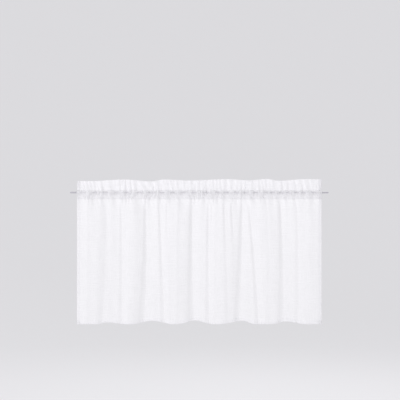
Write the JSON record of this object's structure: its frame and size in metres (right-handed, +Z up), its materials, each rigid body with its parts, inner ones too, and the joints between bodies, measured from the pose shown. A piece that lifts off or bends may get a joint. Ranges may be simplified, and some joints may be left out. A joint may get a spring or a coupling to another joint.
{
  "type": "cafe curtain on a slim curtain rod",
  "caption": "Short sheer cafe curtain with a ruffled heading, gathered on a slim round rod, to cover the lower part of a window.",
  "frame": {"origin": "the middle of the rod's axis, halfway between its ends", "axes": "+X along the rod, to the right as seen from the room; +Z up; the curtain's front faces -Y, and the window would be on the +Y side"},
  "size_m": [0.808, 0.0187, 0.4539],
  "materials": {
    "sheer_voile": "matt sheer plain weave with slubs",
    "rod_paint": "satin white paint"
  },
  "bodies": {
    "root": {"curtain": "sheer_voile", "rod": "rod_paint"}
  },
  "joints": []
}
